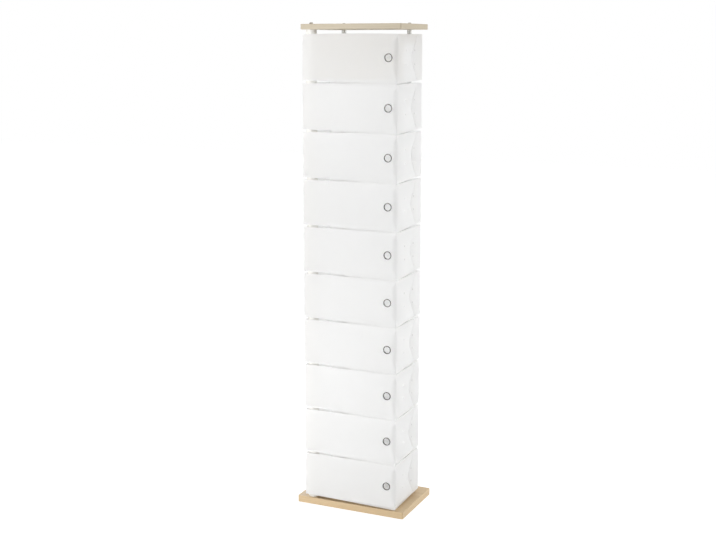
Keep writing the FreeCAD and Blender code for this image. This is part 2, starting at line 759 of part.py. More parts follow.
def eyelet(label, level):
    """The finger ring: a rounded rim in front, a barrel through the panel and a rolled rim behind."""
    body = new_body(label, eyelet_x, front, level + middle)
    body.Placement.Rotation = FreeCAD.Rotation(FreeCAD.Vector(1, 0, 0), 90)
    bore = dim.eyelet_bore / 2
    barrel = bore + dim.eyelet_wall
    edge = dim.eyelet_outer / 2
    panel = dim.sheet_thick
    ease = dim.eyelet_rim / 2
    zero = as_size(0)
    revolve(body, "turned_ring", (
        (bore, -panel - dim.eyelet_back),
        (dim.eyelet_back_outer / 2, -panel - dim.eyelet_back),
        (dim.eyelet_back_outer / 2, -panel),
        (barrel, -panel),
        (barrel, zero),
        (edge, zero),
        (edge, dim.eyelet_rim - ease),
        (edge - ease, dim.eyelet_rim),
        (bore + ease, dim.eyelet_rim),
        (bore, dim.eyelet_rim - ease),
    ))
    return body


def rivet_set(body, name, role, places, head_face, tail_face):
    """Rivets at places on a plane, from the head's bearing face to the tail's."""
    outward = head_face.value > tail_face.value
    rounds = (
        ("heads", head_face, dim.rivet_head_height, dim.rivet_head / 2, not outward),
        ("shanks", head_face, head_face - tail_face if outward else tail_face - head_face,
         dim.rivet_shank / 2, outward),
        ("tails", tail_face, dim.rivet_head_height, dim.rivet_head / 2, outward),
    )
    for part_name, face, length, radius, reverse in rounds:
        sketch = new_sketch(body, f"{name}_{part_name}_circles", role, face)
        for across, along in places:
            draw_circle(sketch, across, along, radius)
        pad(body, f"{name}_{part_name}", sketch, length, reverse)


def rivets(label, level):
    """All the rivets of one drawer, drawn as one group."""
    body = new_body(label, None, None, level)
    flap_face = tray_right - dim.sheet_thick
    front_places = [(front_rivet_y, z) for z in side_rivet_rows]
    rivet_set(body, "front_pair", "YZ_Plane", front_places, right, flap_face)
    rear_places = [(rear_rivet_y, z) for z in side_rivet_rows]
    rivet_set(body, "rear_pair", "YZ_Plane", rear_places, tongue_face, flap_face)
    wing_places = [(wing_rivet_y, z) for z in wing_rivet_rows]
    wing_face = tray_left + dim.sheet_thick + dim.wing_thick
    rivet_set(body, "wing_pair", "YZ_Plane", wing_places, left, wing_face)
    foot_places = [(foot_rivet_x, y) for y in foot_rivet_ys]
    rivet_set(body, "foot_pair", "XY_Plane", foot_places, dim.stack_gap, floor_top + dim.wing_thick)
    return body


def drawer_pieces(number):
    level = stack_low + dim.pitch * (number - 1)
    name = f"drawer_{number:02d}"
    return [
        band(name + "_band", level),
        tray(name + "_tray", level),
        sleeve(name + "_sleeve", level),
        eyelet(name + "_eyelet", level),
        rivets(name + "_rivets", level),
    ]


def check_document(pieces):
    """Stops before anything is written if a feature failed or a piece is no sound solid."""
    for item in doc.Objects:
        if "Invalid" in item.State or "Error" in item.State:
            raise ValueError(f"{item.Label} failed: {item.State}")
    for piece in pieces:
        if piece.Shape.isNull() or not piece.Shape.isValid() or not piece.Shape.Solids:
            raise ValueError(f"{piece.Label} is no sound solid")


def main():
    pieces = frame_pieces()
    for number in range(1, int(dim.drawer_count.value) + 1):
        pieces.extend(drawer_pieces(number))
    doc.recompute()
    check_document(pieces)
    os.makedirs(PARTS_FOLDER, exist_ok=True)
    for piece in pieces:
        piece.Shape.exportStep(os.path.join(PARTS_FOLDER, piece.Label + ".step"))


main()
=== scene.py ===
"""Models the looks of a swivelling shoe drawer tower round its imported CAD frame, in metres."""
import json
import math

import bmesh
import bpy
from bpy.props import FloatProperty, FloatVectorProperty, PointerProperty
from mathutils import Matrix, Vector, noise

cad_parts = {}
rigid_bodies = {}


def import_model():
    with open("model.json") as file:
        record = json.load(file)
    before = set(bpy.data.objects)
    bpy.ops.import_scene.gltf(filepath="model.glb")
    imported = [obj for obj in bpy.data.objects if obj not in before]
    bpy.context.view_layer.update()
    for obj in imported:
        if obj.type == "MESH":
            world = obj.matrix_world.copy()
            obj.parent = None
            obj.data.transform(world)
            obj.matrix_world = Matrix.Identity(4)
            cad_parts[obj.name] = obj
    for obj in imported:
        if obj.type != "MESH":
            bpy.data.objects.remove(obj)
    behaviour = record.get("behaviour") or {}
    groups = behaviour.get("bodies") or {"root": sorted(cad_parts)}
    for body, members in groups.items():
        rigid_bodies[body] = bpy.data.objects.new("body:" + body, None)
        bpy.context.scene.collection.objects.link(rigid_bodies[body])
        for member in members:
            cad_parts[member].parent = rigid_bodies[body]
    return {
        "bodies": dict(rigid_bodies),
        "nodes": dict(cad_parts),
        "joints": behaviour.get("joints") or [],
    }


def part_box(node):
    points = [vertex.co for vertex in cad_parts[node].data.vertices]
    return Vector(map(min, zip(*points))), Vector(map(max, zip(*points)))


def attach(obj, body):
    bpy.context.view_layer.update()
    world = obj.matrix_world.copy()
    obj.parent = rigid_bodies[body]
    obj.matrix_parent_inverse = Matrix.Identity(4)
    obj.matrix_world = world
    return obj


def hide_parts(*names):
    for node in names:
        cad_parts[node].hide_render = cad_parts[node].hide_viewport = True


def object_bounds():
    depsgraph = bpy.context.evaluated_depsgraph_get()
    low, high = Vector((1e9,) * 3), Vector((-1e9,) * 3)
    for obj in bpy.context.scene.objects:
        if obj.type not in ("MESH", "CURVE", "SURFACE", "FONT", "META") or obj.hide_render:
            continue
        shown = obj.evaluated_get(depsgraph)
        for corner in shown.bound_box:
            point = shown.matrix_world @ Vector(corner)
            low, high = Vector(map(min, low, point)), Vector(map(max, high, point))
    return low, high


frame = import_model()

bl_info = {
    "name": "Shoe drawer tower",
    "version": (1, 0, 0),
    "blender": (4, 5, 0),
    "location": "3D View > Sidebar > Shoe tower",
    "description": "Models the looks of a swivelling shoe drawer tower round its CAD frame",
    "category": "Object",
}

CAD_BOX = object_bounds()
MM = 0.001
FULL_TURN = math.tau
CLOSE = 1e-5
WHITE = (1.0, 1.0, 1.0, 1.0)

# Places of the lowest drawer, read from its nodes
DRAWERS = sorted(name for name in frame["bodies"] if name.startswith("drawer_"))
FIRST = DRAWERS[0]
BAND_LOW, BAND_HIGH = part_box(FIRST + "_band")
TRAY_LOW, TRAY_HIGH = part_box(FIRST + "_tray")
SLEEVE_LOW, SLEEVE_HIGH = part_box(FIRST + "_sleeve")
RING_LOW, RING_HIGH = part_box(FIRST + "_eyelet")
PIVOT_X, PIVOT_Y = frame["joints"][0]["pos_m"][:2]
PITCH = SLEEVE_HIGH.z - SLEEVE_LOW.z
LEFT, FRONT, SKIRT = BAND_LOW
TONGUE_FACE, BACK, CROWN = BAND_HIGH
RIM = SLEEVE_HIGH.z
FLOOR = TRAY_LOW.z
MIDDLE = (FLOOR + RIM) / 2
MID_Y = (FRONT + BACK) / 2
RING_X = (RING_LOW.x + RING_HIGH.x) / 2

# Where the band is cut, as shares of the way from a panel's middle to its edge, and of the free fold
PANEL_ROWS = (-0.8, -0.6, -0.4, -0.2, 0.0, 0.2, 0.4, 0.6, 0.8, 0.92)
PANEL_COLUMNS = (0.0, 0.2, 0.4, 0.55, 0.68, 0.78, 0.86, 0.92)
FOLD_CUTS = (0.25, 0.5, 0.75, 1.0)

# How closely a hold keeps to its edge, as a power of the distance from the middle
FOLD_HOLD = 12
ROW_HOLD = 4
FRONT_HOLD = 8
SIDE_HOLD = 6


def colour(text):
    """An sRGB hex colour as linear values."""
    shares = [int(text[start:start + 2], 16) / 255 for start in (1, 3, 5)]
    return tuple(share / 12.92 if share <= 0.04045 else ((share + 0.055) / 1.055) ** 2.4 for share in shares)


def length_field(name, default, description):
    """A size in metres for a property group."""
    return FloatProperty(name=name, description=description, default=default, min=0.0, unit="LENGTH")


def colour_field(name, default, description):
    """A linear colour for a property group, from its sRGB hex value."""
    return FloatVectorProperty(name=name, description=description, default=colour(default), size=3,
                               min=0.0, max=1.0, subtype="COLOR")


class SheetSettings(bpy.types.PropertyGroup):
    """The folded plastic sheet of the drawers."""
    thickness: length_field("Thickness", 1.2 * MM, "Thickness of the plastic sheet")
    fold_radius: length_field("Fold radius", 3 * MM, "Outer radius of the upright folds")
    free_fold: length_field("Free fold", 16 * MM, "Radius to which the free front fold springs at mid height")
    hem_height: length_field("Hem height", 13 * MM, "Height of the doubled hem at the rim")
    lap_gap: length_field("Lap gap", 0.2 * MM, "Gap between the two lapped ends of the band")
    lap_length: length_field("Lap length", 60 * MM, "Front end of the band under the tongue's tip")
    tongue_reach: length_field("Tongue reach", 94 * MM, "Tongue tip ahead of the back")
    tongue_root: length_field("Tongue root", 38 * MM, "Full height part of the tongue ahead of the back")
    tongue_tip: length_field("Tongue tip", 25 * MM, "Radius of the tongue's tip")
    belly: length_field("Belly", 1 * MM, "How far the hem draws in behind a panel's middle")
    tray_lip: length_field("Tray lip", 5 * MM, "Height of the tray's lips in front and at the back")
    ripple: length_field("Ripple", 0.2 * MM, "Unevenness of the sheet over its panels")
    passes: FloatProperty(name="Passes", description="Share of the light that passes the band", default=0.5)
    tray_passes: FloatProperty(name="Tray passes", description="Share of the light that passes the tray",
                               default=0.12)
    tint: colour_field("Tint", "#FFFFFF", "Colour of the frosted plastic")
    sleeve_tint: colour_field("Sleeve tint", "#F0EEEA", "Colour of the moulded sleeves")


class MetalSettings(bpy.types.PropertyGroup):
    """The metal pieces."""
    ring_bore: length_field("Ring bore", 22 * MM, "Diameter of the finger hole")
    ring_edge: length_field("Ring edge", 28 * MM, "Diameter of the finger ring's outer edge")
    ring_wall: length_field("Ring wall", 1 * MM, "Wall of the finger ring's barrel")
    rivet_head: length_field("Rivet head", 7 * MM, "Diameter of the rivet heads")
    rivet_rise: length_field("Rivet rise", 1.2 * MM, "Height of the rivet heads")
    rivet_shank: length_field("Rivet shank", 4 * MM, "Diameter of the rivet shanks")
    rivet_rows: length_field("Rivet rows", 45 * MM, "Height between the rows of side rivets")
    rivet_columns: length_field("Rivet columns", 72 * MM, "Distance between the columns of side rivets")
    nickel_tint: colour_field("Nickel tint", "#646361", "Colour of the finger rings")
    rivet_tint: colour_field("Rivet tint", "#E6E6E5", "Colour of the rivets")
    steel_tint: colour_field("Steel tint", "#BCBCBA", "Colour of the column and rods")
    bolt_tint: colour_field("Bolt tint", "#9A948A", "Colour of the bolts")


class WoodSettings(bpy.types.PropertyGroup):
    """The two boards."""
    pale: colour_field("Early wood", "#DAC4A0", "Colour of the pale bands in the base")
    dark: colour_field("Late wood", "#C8AA80", "Colour of the darker bands in the base")
    # The top board is the same birch as the base, drawn in greyer and slightly darker tones
    top_pale: colour_field("Top early wood", "#CDC2AC", "Colour of the pale bands in the top board")
    top_dark: colour_field("Top late wood", "#B5A78E", "Colour of the darker bands in the top board")
    ring_width: length_field("Ring width", 3.5 * MM, "Distance between growth rings")


class StageSettings(bpy.types.PropertyGroup):
    """Camera, floor and light."""
    camera_place: FloatVectorProperty(name="Camera place", description="Where the camera stands",
                                      default=(1.6393, -3.6531, 1.5900), subtype="TRANSLATION", unit="LENGTH")
    camera_yaw: FloatProperty(name="Camera yaw", description="Turn of the view to the left of the +Y axis",
                              default=0.4276, subtype="ANGLE")
    camera_pitch: FloatProperty(name="Camera pitch", description="Tilt of the view below the horizon",
                                default=0.1879, subtype="ANGLE")
    camera_lens: FloatProperty(name="Lens", description="Focal length on a 36 mm wide sensor", default=59.51,
                               unit="CAMERA")
    floor_tint: colour_field("Floor tint", "#F2F2F0", "Colour of the floor")
    daylight: FloatProperty(name="Daylight", description="Strength of the even light all round", default=0.48)


def clear_selection():
    """Leaves edit mode and deselects every object."""
    if bpy.context.object and bpy.context.object.mode != "OBJECT":
        bpy.ops.object.mode_set(mode="OBJECT")
    bpy.ops.object.select_all(action="DESELECT")


def take_up(piece):
    """Makes one piece the only selected and active object."""
    clear_selection()
    piece.select_set(True)
    bpy.context.view_layer.objects.active = piece


def start_plane(name, place, size, turn=(0.0, 0.0, 0.0)):
    """Adds a plane at its size and place, with the place kept in its mesh."""
    clear_selection()
    bpy.ops.mesh.primitive_plane_add(size=1, location=place, rotation=turn)
    piece = bpy.context.active_object
    piece.name = name
    piece.scale = size
    bpy.ops.object.transform_apply(location=True, rotation=True, scale=True)
    return piece


def edit(piece):
    """Opens a piece in edit mode with nothing selected."""
    take_up(piece)
    bpy.ops.object.mode_set(mode="EDIT")
    bpy.ops.mesh.select_all(action="DESELECT")


def pick(piece, kind, test):
    """Selects the edges or faces of a piece that pass a test."""
    bpy.ops.mesh.select_mode(type=kind)
    bpy.ops.mesh.select_all(action="DESELECT")
    shape = bmesh.from_edit_mesh(piece.data)
    parts = {"EDGE": shape.edges, "FACE": shape.faces}[kind]
    for part in parts:
        if test(part):
            part.select_set(True)
    shape.select_flush_mode()
    bmesh.update_edit_mesh(piece.data)


def is_at(value, target):
    """True where a coordinate lies on a target."""
    return abs(value - target) < CLOSE


def draw_out(way):
    """Extrudes what is selected along a way."""
    bpy.ops.mesh.extrude_region_move(TRANSFORM_OT_translate={"value": way})


def slice_all(place, normal, drop_behind=False):
    """Cuts the whole piece along a plane, and drops what lies behind it if asked."""
    bpy.ops.mesh.select_all(action="SELECT")
    bpy.ops.mesh.bisect(plane_co=place, plane_no=normal, clear_inner=drop_behind)


def use_modifier(piece, kind, **settings):
    """Adds one modifier to a piece and applies it."""
    take_up(piece)
    modifier = piece.modifiers.new(kind.title(), kind)
    for field, value in settings.items():
        setattr(modifier, field, value)
    bpy.ops.object.modifier_apply(modifier=modifier.name)


def soften(piece, width):
    """Rounds the edges of a piece that turn by more than 50 degrees."""
    use_modifier(piece, "BEVEL", width=width, segments=2, limit_method="ANGLE",
                 angle_limit=math.radians(50), use_clamp_overlap=True)


def cut_away(piece, cutter):
    """Cuts another piece out of this one, and takes the cutter away."""
    use_modifier(piece, "BOOLEAN", object=cutter, operation="DIFFERENCE", solver="EXACT")
    bpy.data.objects.remove(cutter)


def smooth(piece, angle=35):
    """Shades a piece smoothly across its soft edges only."""
    take_up(piece)
    bpy.ops.object.shade_smooth_by_angle(angle=math.radians(angle))


def arc(centre, radii, start, end, count):
    """Points of a round stretch of a profile, as radius and height."""
    points = []
    for step in range(count + 1):
        angle = math.radians(start + (end - start) * step / count)
        points.append((centre[0] + radii[0] * math.cos(angle), centre[1] + radii[1] * math.sin(angle)))
    return points


def turned(name, profile, steps):
    """A profile of radius and height drawn corner by corner and spun round the Z axis."""
    clear_selection()
    bpy.ops.mesh.primitive_plane_add(size=MM)
    piece = bpy.context.active_object
    piece.name = name
    bpy.ops.object.mode_set(mode="EDIT")
    bpy.ops.mesh.select_mode(type="VERT")
    bpy.ops.mesh.select_all(action="SELECT")
    bpy.ops.mesh.merge(type="CENTER")
    radius, height = profile[0]
    bpy.ops.transform.translate(value=(radius, 0.0, height))
    for (radius, height), (next_radius, next_height) in zip(profile, profile[1:]):
        draw_out((next_radius - radius, 0.0, next_height - height))
    bpy.ops.mesh.select_all(action="SELECT")
    bpy.ops.mesh.spin(steps=steps, angle=FULL_TURN, center=(0.0, 0.0, 0.0), axis=(0.0, 0.0, 1.0))
    bpy.ops.mesh.select_all(action="SELECT")
    bpy.ops.mesh.remove_doubles(threshold=MM / 1000)
    bpy.ops.mesh.normals_make_consistent(inside=False)
    bpy.ops.object.mode_set(mode="OBJECT")
    return piece


def stand(piece, place, way=(0.0, 0.0, 1.0)):
    """Moves a turned piece so that its axis runs from a place along a way."""
    turn = Vector(way).to_track_quat("Z", "Y").to_matrix().to_4x4()
    piece.data.transform(Matrix.Translation(place) @ turn)
    return piece


def join(name, pieces):
    """Joins loose shapes to one piece."""
    take_up(pieces[0])
    for piece in pieces:
        piece.select_set(True)
    bpy.ops.object.join()
    pieces[0].name = name
    return pieces[0]


def coat(piece, material):
    """Gives a piece one material all over."""
    piece.data.materials.clear()
    piece.data.materials.append(material)


def dress(piece, body, node, material):
    """Gives a new piece its material, its body and the node that it stands for."""
    coat(piece, material)
    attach(piece, body)
    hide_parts(node)


def dress_node(node, material):
    """Gives a CAD node that stays its material."""
    coat(frame["nodes"][node], material)


def repeat_up(model, kind, material, settle=None):
    """Puts a copy of the lowest drawer's piece in every drawer, each with its own mesh."""
    for number, drawer in enumerate(DRAWERS):
        piece = model
        if number:
            piece = model.copy()
            piece.data = model.data.copy()
            bpy.context.scene.collection.objects.link(piece)
        piece.name = f"{drawer}_{kind}_shape"
    for number, drawer in enumerate(DRAWERS):
        piece = bpy.data.objects[f"{drawer}_{kind}_shape"]
        if settle:
            settle(piece, number)
        piece.data.transform(Matrix.Translation((0.0, 0.0, PITCH * number)))
        dress(piece, drawer, f"{drawer}_{kind}", material)


def add(tree, kind, inputs=None, **settings):
    """Adds a node with its settings, its socket values and the outputs that feed it."""
    node = tree.nodes.new(kind)
    for field, value in settings.items():
        setattr(node, field, value)
    for socket, value in (inputs or {}).items():
        if isinstance(value, bpy.types.NodeSocket):
            tree.links.new(value, node.inputs[socket])
        else:
            node.inputs[socket].default_value = value
    return node


def new_material(name):
    """An empty node material with its output."""
    material = bpy.data.materials.new(name)
    material.use_nodes = True
    tree = material.node_tree
    tree.nodes.clear()
    return material, tree, add(tree, "ShaderNodeOutputMaterial")


def object_place(tree):
    """The Object coordinates of a surface."""
    return add(tree, "ShaderNodeTexCoord").outputs["Object"]


def stretched(tree, place, scale, offset=(0.0, 0.0, 0.0)):
    """Coordinates in which a pattern is drawn out along each axis whose scale is below 1."""
    node = add(tree, "ShaderNodeMapping", {"Vector": place, "Location": offset, "Scale": scale})
    return node.outputs["Vector"]


def patches(tree, place, size, detail, output="Fac"):
    """A noise whose patches are about one size across."""
    node = add(tree, "ShaderNodeTexNoise", {"Vector": place, "Scale": 1.0 / size, "Detail": detail})
    return node.outputs[output]


def worked_out(tree, operation, *values):
    """What a maths node makes of some numbers or outputs."""
    return add(tree, "ShaderNodeMath", dict(enumerate(values)), operation=operation).outputs["Value"]


def graded(tree, value, low, high):
    """A value from 0 to 1 spread over the range from low to high."""
    node = add(tree, "ShaderNodeMapRange", {"Value": value, "To Min": low, "To Max": high})
    return node.outputs["Result"]


def relief(tree, height, strength, depth):
    """The tilt that a fine relief gives a surface."""
    node = add(tree, "ShaderNodeBump", {"Height": height, "Strength": strength, "Distance": depth})
    return node.outputs["Normal"]


def mixed(tree, share, low, high):
    """A colour between two, by a share that a node gives."""
    node = add(tree, "ShaderNodeMix", {"Factor": share, "A": low, "B": high}, data_type="RGBA")
    return node.outputs["Result"]


def shade(tint, share=1.0):
    """A tint made lighter or darker by a share, as a colour socket takes it."""
    return (*(min(1.0, value * share) for value in tint), 1.0)


def frosted_polypropylene(name, tint, passes):
    """Extruded polypropylene sheet with an embossed frost: milky, so that a share of the light passes
    through it and the drawers glow inside, with a soft gloss, a cloudy unevenness and a fine grain."""
    material, tree, output = new_material(name)
    place = object_place(tree)
    cloud = patches(tree, place, 70 * MM, 2.0)
    # The real emboss is about 0.2 mm; it is drawn at 0.9 mm so that it shows
    grain = patches(tree, place, 0.9 * MM, 2.0)
    tone = mixed(tree, cloud, shade(tint, 0.985), shade(tint))
    shader = add(tree, "ShaderNodeBsdfPrincipled", {
        "Base Color": tone,
        "Roughness": graded(tree, grain, 0.38, 0.52),
        "Normal": relief(tree, grain, 0.12, 0.08 * MM),
        "IOR": 1.49,
    })
    through = add(tree, "ShaderNodeBsdfTranslucent", {"Color": tone})
    # Light that is inside the sheet goes on through its other face
    inside = add(tree, "ShaderNodeNewGeometry").outputs["Backfacing"]
    share = worked_out(tree, "MAXIMUM", inside, passes)
    milk = add(tree, "ShaderNodeMixShader", {0: share, 1: shader.outputs["BSDF"], 2: through.outputs["BSDF"]})
    tree.links.new(milk.outputs["Shader"], output.inputs["Surface"])
    return material


def moulded_nylon(tint):
    """Injection moulded nylon: pale grey, satin, with a fine spark-eroded texture."""
    material, tree, output = new_material("moulded_nylon")
    place = object_place(tree)
    grain = patches(tree, place, 0.8 * MM, 3.0)
    cloud = patches(tree, place, 25 * MM, 1.0)
    shader = add(tree, "ShaderNodeBsdfPrincipled", {
        "Base Color": mixed(tree, cloud, shade(tint, 0.95), shade(tint, 1.04)),
        "Roughness": 0.45,
        "Normal": relief(tree, grain, 0.2, 0.06 * MM),
        "IOR": 1.53,
    })
    tree.links.new(shader.outputs["BSDF"], output.inputs["Surface"])
    return material


def metal(name, tint, roughness, mark_size, relief_depth, mark_scale=(1.0, 1.0, 1.0)):
    """A bare or plated metal with fine marks, drawn out along each axis whose scale is below 1."""
    material, tree, output = new_material(name)
    marks = patches(tree, stretched(tree, object_place(tree), mark_scale), mark_size, 3.0)
    shader = add(tree, "ShaderNodeBsdfPrincipled", {
        "Base Color": mixed(tree, marks, shade(tint, 0.9), shade(tint, 1.06)),
        "Metallic": 1.0,
        "Roughness": graded(tree, marks, roughness * 0.8, roughness * 1.25),
        "Normal": relief(tree, marks, 0.15, relief_depth),
    })
    tree.links.new(shader.outputs["BSDF"], output.inputs["Surface"])
    return material


def nickel_plate(tint):
    """Dark nickel on a pressed eyelet: a clear but slightly soft mirror with fine polishing marks."""
    return metal("nickel_plate", tint, 0.2, 0.6 * MM, 0.01 * MM)


def plain_aluminium(tint):
    """Plain aluminium rivet heads: dull, with the marks of the setting tool."""
    return metal("plain_aluminium", tint, 0.42, 0.5 * MM, 0.03 * MM)


def drawn_steel(tint):
    """Cold drawn steel tube and rod: satin, with fine marks along its length."""
    return metal("drawn_steel", tint, 0.45, 0.5 * MM, 0.02 * MM, (1.0, 1.0, 0.02))


def zinc_steel(tint):
    """Zinc plated bolts: grey with a fine crystalline break in the gloss."""
    return metal("zinc_steel", tint, 0.3, 0.7 * MM, 0.01 * MM)


def lacquered_birch(name, pale, dark, ring_width):
    """Planed birch under clear matt lacquer: pale, low contrast rings, silky streaks along the board and
    short fine pores that break the gloss."""
    material, tree, output = new_material(name)
    place = object_place(tree)
    # Rings curve round a pith that lies below and behind the boards
    off_pith = stretched(tree, place, (0.04, 1.0, 1.0), (0.0, -0.06, 0.19))
    wander = patches(tree, off_pith, 60 * MM, 3.0, "Color")
    moved = add(tree, "ShaderNodeVectorMath", {0: wander, 1: (0.0, 0.02, 0.02)}, operation="MULTIPLY")
    bent = add(tree, "ShaderNodeVectorMath", {0: off_pith, 1: moved.outputs["Vector"]}, operation="ADD")
    # A wave node's rings are 2 pi / 20 of a unit apart at scale 1
    rings = add(tree, "ShaderNodeTexWave", {
        "Vector": bent.outputs["Vector"],
        "Scale": math.tau / 20 / ring_width,
        "Distortion": 1.2,
        "Detail": 2.0,
        "Detail Scale": 1.5,
    }, wave_type="RINGS", rings_direction="X", wave_profile="SAW")
    streaks = patches(tree, stretched(tree, place, (0.03, 1.0, 1.0)), 5 * MM, 4.0)
    pores = patches(tree, stretched(tree, place, (0.12, 1.0, 1.0)), 0.7 * MM, 2.0)
    pore_dots = add(tree, "ShaderNodeMapRange", {"Value": pores, "From Min": 0.62, "From Max": 0.78})
    ring_part = worked_out(tree, "MULTIPLY", rings.outputs["Fac"], 0.35)
    tone = mixed(tree, worked_out(tree, "MULTIPLY_ADD", streaks, 0.65, ring_part), shade(pale), shade(dark))
    fleck = worked_out(tree, "MULTIPLY", pore_dots.outputs["Result"], 0.3)
    shader = add(tree, "ShaderNodeBsdfPrincipled", {
        "Base Color": mixed(tree, fleck, tone, shade(dark, 0.72)),
        "Roughness": graded(tree, streaks, 0.4, 0.55),
        "Normal": relief(tree, pores, 0.15, 0.05 * MM),
        "IOR": 1.5,
    })
    tree.links.new(shader.outputs["BSDF"], output.inputs["Surface"])
    return material


def right_side(sheet):
    """Where the outer face of the right side lies, under the tongue."""
    return TONGUE_FACE - sheet.lap_gap - sheet.thickness


def spring_open(spot, level, right, sheet):
    """Rounds the free front fold, which the hem and the floor hold tight at its ends."""
    radius = sheet.fold_radius + (sheet.free_fold - sheet.fold_radius) * (1 - level ** FOLD_HOLD)
    inward = right - spot.x
    backward = spot.y - FRONT
    if max(inward, backward) > sheet.free_fold or abs(inward - backward) >= radius:
        return
    turn = math.pi / 4 * (1 - abs(inward - backward) / radius)
    if backward > inward:
        turn = math.pi / 2 - turn
    spot.x = right - radius + radius * math.sin(turn)
    spot.y = FRONT + radius - radius * math.cos(turn)


def share_between(value, low, high):
    """How far a value has gone from low to high, from 0 to 1."""
    return min(1.0, max(0.0, (value - low) / (high - low)))


def draw_in(piece, sheet):
    """Draws the hem and the corners in behind each panel's middle, above the tray wall that holds the sheet
    out, and arches the rim."""
    right = right_side(sheet)
    half_width = (TONGUE_FACE - LEFT) / 2
    half_depth = (BACK - FRONT) / 2
    half_height = (RIM - FLOOR) / 2
    straight = 1 - sheet.hem_height / half_height
    hem_low = RIM - sheet.hem_height
    lip_top = FLOOR + sheet.thickness + sheet.tray_lip
    for corner in piece.data.vertices:
        across = corner.co.x / half_width
        along = (corner.co.y - MID_Y) / half_depth
        level = min(1.0, abs(corner.co.z - MIDDLE) / half_height / straight)
        held_level = 1 - level ** ROW_HOLD
        held_front = 1 - held_level * max(0.0, 1 - abs(across) ** FRONT_HOLD)
        held_side = 1 - held_level * max(0.0, 1 - abs(along) ** SIDE_HOLD)
        over_lip = share_between(corner.co.z, lip_top, MIDDLE)
        over_flap = share_between(corner.co.z, TRAY_HIGH.z, hem_low)
        rise = max(0.0, (corner.co.z - FLOOR) / (RIM - FLOOR))
        spring_open(corner.co, level, right, sheet)
        corner.co.z += (CROWN - RIM) * max(0.0, 1 - across ** 2) * rise ** 2
        corner.co.y -= sheet.belly * along * held_front * over_lip
        corner.co.x -= sheet.belly * across * held_side * over_flap


def fold_band(sheet):
    """One layer, drawn out from the lap round the front, left and back to the tongue's tip. It stays open in
    edit mode."""
    right = right_side(sheet)
    tip_y = BACK - sheet.tongue_reach
    lap_end = tip_y + sheet.lap_length
    band = start_plane("band", (right, (lap_end + FRONT) / 2, (RIM + SKIRT) / 2),
                       (RIM - SKIRT, lap_end - FRONT, 1.0), (0.0, math.pi / 2, 0.0))
    edit(band)
    pick(band, "EDGE", lambda edge: all(is_at(corner.co.y, FRONT) for corner in edge.verts))
    draw_out((LEFT - right, 0.0, 0.0))
    draw_out((0.0, BACK - FRONT, 0.0))
    draw_out((TONGUE_FACE - LEFT, 0.0, 0.0))
    draw_out((0.0, tip_y - BACK, 0.0))
    folds = ((right, FRONT), (LEFT, FRONT), (LEFT, BACK), (TONGUE_FACE, BACK))
    pick(band, "EDGE", lambda edge: any(
        all(is_at(corner.co.x, x) and is_at(corner.co.y, y) for corner in edge.verts) for x, y in folds))
    bpy.ops.mesh.bevel(offset=sheet.fold_radius, segments=8, affect="EDGES")
    return band


def divide_panels(sheet):
    """Cuts the open band into rows and columns, which lie closer together near the hem and the folds."""
    right = right_side(sheet)
    hem_low = RIM - sheet.hem_height
    hem_step = 0.4 * MM
    heights = [hem_low, hem_low - hem_step, FLOOR + sheet.hem_height]
    heights += [MIDDLE + (hem_low - MIDDLE) * share for share in PANEL_ROWS]
    for height in heights:
        slice_all((0.0, 0.0, height), (0.0, 0.0, 1.0))
    for share in PANEL_COLUMNS:
        for side in (-1, 1):
            slice_all((side * share * right, 0.0, 0.0), (1.0, 0.0, 0.0))
            slice_all((0.0, MID_Y + side * share * (BACK - FRONT) / 2, 0.0), (0.0, 1.0, 0.0))
    for share in FOLD_CUTS:
        slice_all((right - share * sheet.free_fold, 0.0, 0.0), (1.0, 0.0, 0.0))
        slice_all((0.0, FRONT + share * sheet.free_fold, 0.0), (0.0, 1.0, 0.0))


def slant_skirt(sheet):
    """Trims the open band's lower edge, which slants down to the free front corner."""
    slant_x = (SKIRT - FLOOR) / (right_side(sheet) - LEFT)
    slant_y = (SKIRT - FLOOR) / (BACK - FRONT)
    slice_all((LEFT, 0.0, FLOOR), (-slant_x, 0.0, 1.0), drop_behind=True)
    slice_all((0.0, BACK, FLOOR), (0.0, slant_y, 1.0), drop_behind=True)


def trim_tongue(band, sheet):
    """Trims the open band's end to the tongue's outline, by planes that touch the circle of its tip."""
    centre = Vector((TONGUE_FACE, BACK - sheet.tongue_reach + sheet.tongue_tip, MIDDLE))
    root = BACK - sheet.tongue_root
    over = 5 * MM
    away_high = Vector((0.0, root, CROWN + over)) - Vector((0.0, centre.y, MIDDLE))
    away_low = Vector((0.0, root, SKIRT - over)) - Vector((0.0, centre.y, MIDDLE))
    high = math.atan2(away_high.z, away_high.y) + math.acos(sheet.tongue_tip / away_high.length)
    low = math.atan2(away_low.z, away_low.y) - math.acos(sheet.tongue_tip / away_low.length) + FULL_TURN
    steps = 14
    for step in range(steps + 1):
        angle = high + (low - high) * step / steps
        outward = Vector((0.0, math.cos(angle), math.sin(angle)))
        pick(band, "FACE", lambda face: all(is_at(corner.co.x, TONGUE_FACE) for corner in face.verts))
        bpy.ops.mesh.bisect(plane_co=centre + outward * sheet.tongue_tip, plane_no=outward, clear_outer=True)


def mark_hem(band, sheet):
    """Groups the corners where the sheet lies double: the rim, but not the tongue or the back's end."""
    right = right_side(sheet)
    hem_low = RIM - sheet.hem_height
    radius = sheet.fold_radius
    hem = band.vertex_groups.new(name="hem")
    for corner in band.data.vertices:
        on_tongue = corner.co.x > right + sheet.lap_gap / 2
        at_back_end = corner.co.y > BACK - radius - CLOSE and corner.co.x > right - radius - CLOSE
        if corner.co.z > hem_low - CLOSE and not on_tongue and not at_back_end:
            hem.add([corner.index], 1.0, "REPLACE")


